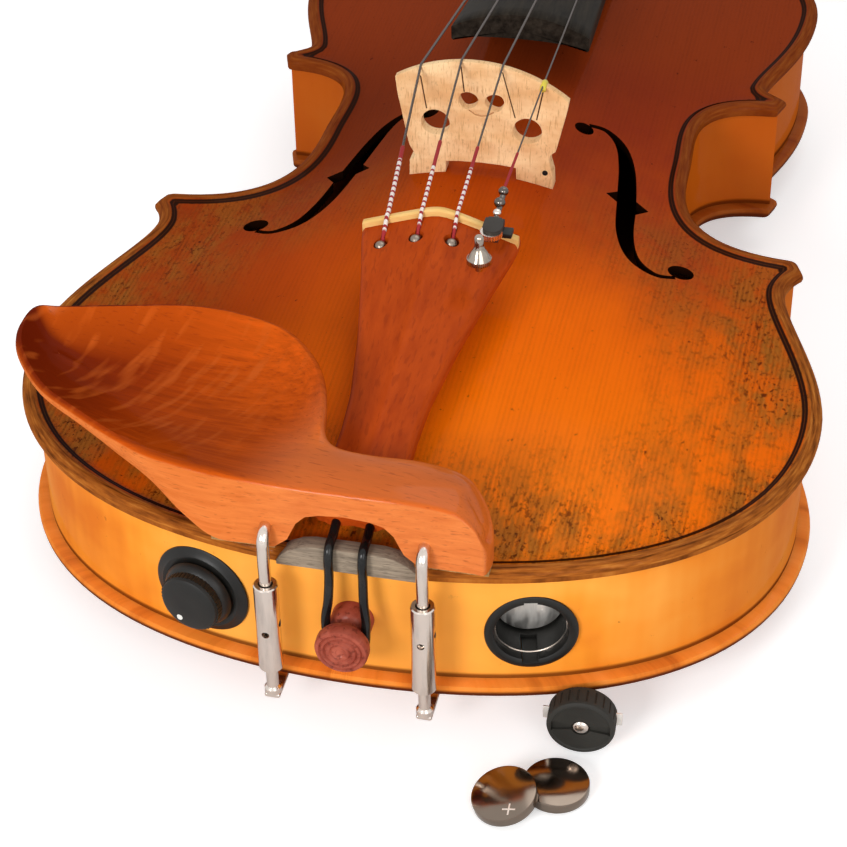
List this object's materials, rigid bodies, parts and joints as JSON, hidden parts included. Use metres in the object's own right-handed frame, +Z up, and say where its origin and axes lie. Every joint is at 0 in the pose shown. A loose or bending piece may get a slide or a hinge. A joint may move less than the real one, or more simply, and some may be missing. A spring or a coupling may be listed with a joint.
{
  "type": "electric violin",
  "caption": "Electric violin lying on its back, with chin rest, volume knob and battery socket in the lower rib, the socket's cap off and coin cells beside it.",
  "frame": {"origin": "the lowest point of the back's arching, where the violin touches the table", "axes": "+Y along the violin towards the scroll, +X towards the treble side, +Z up from the back to the strings"},
  "size_m": [0.208, 0.6205, 0.0988],
  "materials": {
    "varnished_top": "amber varnish, satin",
    "varnished_back": "amber-brown varnish, satin",
    "varnished_ribs": "amber varnish, satin",
    "spruce": "bare",
    "ebony": "oiled",
    "bridge_maple": "bare",
    "tail_wood": "polished",
    "boxwood": "polished",
    "chin_wood": "polished",
    "peg_wood": "polished",
    "cork": "matt cork",
    "black_plastic": "matt",
    "nickel": "polished",
    "steel": "polished",
    "circuit": "coated",
    "gut_plastic": "glossy"
  },
  "bodies": {
    "violin": {"top_plate": "varnished_top", "neck": "varnished_top", "back_plate": "varnished_back", "lower_rib_bass": "varnished_ribs", "waist_rib_bass": "varnished_ribs", "upper_rib_bass": "varnished_ribs", "lower_corner_block_bass": "spruce", "upper_corner_block_bass": "spruce", "chinrest_pad_bass": "cork", "clamp_hook_bass": "nickel", "lower_rib_treble": "varnished_ribs", "waist_rib_treble": "varnished_ribs", "upper_rib_treble": "varnished_ribs", "lower_corner_block_treble": "spruce", "upper_corner_block_treble": "spruce", "chinrest_pad_treble": "cork", "clamp_hook_treble": "nickel", "end_block": "spruce", "neck_block": "spruce", "bass_bar": "spruce", "sound_post": "spruce", "fingerboard": "ebony", "nut": "ebony", "saddle": "ebony", "bridge": "bridge_maple", "tailpiece": "tail_wood", "tailpiece_fret": "boxwood", "chinrest": "chin_wood", "end_button": "peg_wood", "tailgut": "gut_plastic", "fine_tuner_frame": "black_plastic", "knob_bezel": "black_plastic", "battery_socket": "black_plastic", "battery_lead": "black_plastic", "jack_lead": "black_plastic", "battery_contact": "nickel", "output_jack": "nickel", "jack_nut": "nickel", "potentiometer": "steel", "string_g": "steel", "string_d": "steel", "string_a": "steel", "string_e": "steel", "preamp_board": "circuit"},
    "peg_g": {"peg_g": "peg_wood"},
    "peg_d": {"peg_d": "peg_wood"},
    "peg_a": {"peg_a": "peg_wood"},
    "peg_e": {"peg_e": "peg_wood"},
    "tuner_lever": {"fine_tuner_lever": "nickel"},
    "tuner_screw": {"fine_tuner_screw": "nickel"},
    "volume_knob": {"volume_knob": "black_plastic"},
    "clamp_barrel_bass": {"clamp_barrel_bass": "nickel"},
    "clamp_barrel_treble": {"clamp_barrel_treble": "nickel"},
    "clamp_foot_bass": {"clamp_foot_bass": "nickel"},
    "clamp_foot_treble": {"clamp_foot_treble": "nickel"},
    "battery_cap": {"battery_cap": "black_plastic", "cap_contact_bar": "nickel", "cap_rivet": "nickel"},
    "coin_cell_flat": {"coin_cell_flat": "steel"},
    "coin_cell_leaning": {"coin_cell_leaning": "steel"}
  },
  "joints": [
    {"name": "peg_g_turn", "type": "hinge", "parent": "violin", "child": "peg_g", "pos_m": [0, 0.323, 0.0346], "axis": [-1, 0, 0], "continuous": true},
    {"name": "peg_e_turn", "type": "hinge", "parent": "violin", "child": "peg_e", "pos_m": [0, 0.336, 0.032], "axis": [1, 0, 0], "continuous": true},
    {"name": "peg_d_turn", "type": "hinge", "parent": "violin", "child": "peg_d", "pos_m": [0, 0.351, 0.0296], "axis": [-1, 0, 0], "continuous": true},
    {"name": "peg_a_turn", "type": "hinge", "parent": "violin", "child": "peg_a", "pos_m": [0, 0.364, 0.028], "axis": [1, 0, 0], "continuous": true},
    {"name": "tuner_screw_turn", "type": "hinge", "parent": "violin", "child": "tuner_screw", "pos_m": [0.0144, -0.094, 0.085], "axis": [0, 0, 1], "range_deg": [0, 900]},
    {"name": "tuner_lever_tilt", "type": "hinge", "parent": "violin", "child": "tuner_lever", "pos_m": [0.0144, -0.074, 0.08255], "axis": [1, 0, 0], "range_deg": [0, 3.5]},
    {"name": "volume_turn", "type": "hinge", "parent": "violin", "child": "volume_knob", "pos_m": [-0.04125, -0.17874, 0.03], "axis": [-0.2367, -0.9716, 0], "range_deg": [0, 300]},
    {"name": "clamp_barrel_bass_turn", "type": "hinge", "parent": "violin", "child": "clamp_barrel_bass", "pos_m": [-0.019, -0.1822, 0.032], "axis": [0, 0, 1], "range_deg": [0, 1440]},
    {"name": "clamp_foot_bass_slide", "type": "slide", "parent": "violin", "child": "clamp_foot_bass", "axis": [0, 0, -1], "range_m": [0, 0.0028]},
    {"name": "clamp_barrel_treble_turn", "type": "hinge", "parent": "violin", "child": "clamp_barrel_treble", "pos_m": [0.019, -0.1822, 0.032], "axis": [0, 0, 1], "range_deg": [0, 1440]},
    {"name": "clamp_foot_treble_slide", "type": "slide", "parent": "violin", "child": "clamp_foot_treble", "axis": [0, 0, -1], "range_m": [0, 0.0028]},
    {"name": "battery_cap_lift", "type": "slide", "parent": "violin", "child": "battery_cap", "axis": [0, 0, 1], "range_m": [0, 0.06]},
    {"name": "coin_cell_flat_lift", "type": "slide", "parent": "violin", "child": "coin_cell_flat", "axis": [0, 0, 1], "range_m": [0, 0.06]},
    {"name": "coin_cell_leaning_lift", "type": "slide", "parent": "violin", "child": "coin_cell_leaning", "axis": [0, 0, 1], "range_m": [0, 0.06]}
  ],
  "couplings": [
    {"joint": "tuner_screw_turn", "follows": "tuner_lever_tilt", "ratio": 257.14},
    {"joint": "clamp_barrel_bass_turn", "follows": "clamp_foot_bass_slide", "rad_per_m": 8975.9},
    {"joint": "clamp_barrel_treble_turn", "follows": "clamp_foot_treble_slide", "rad_per_m": 8975.9}
  ]
}
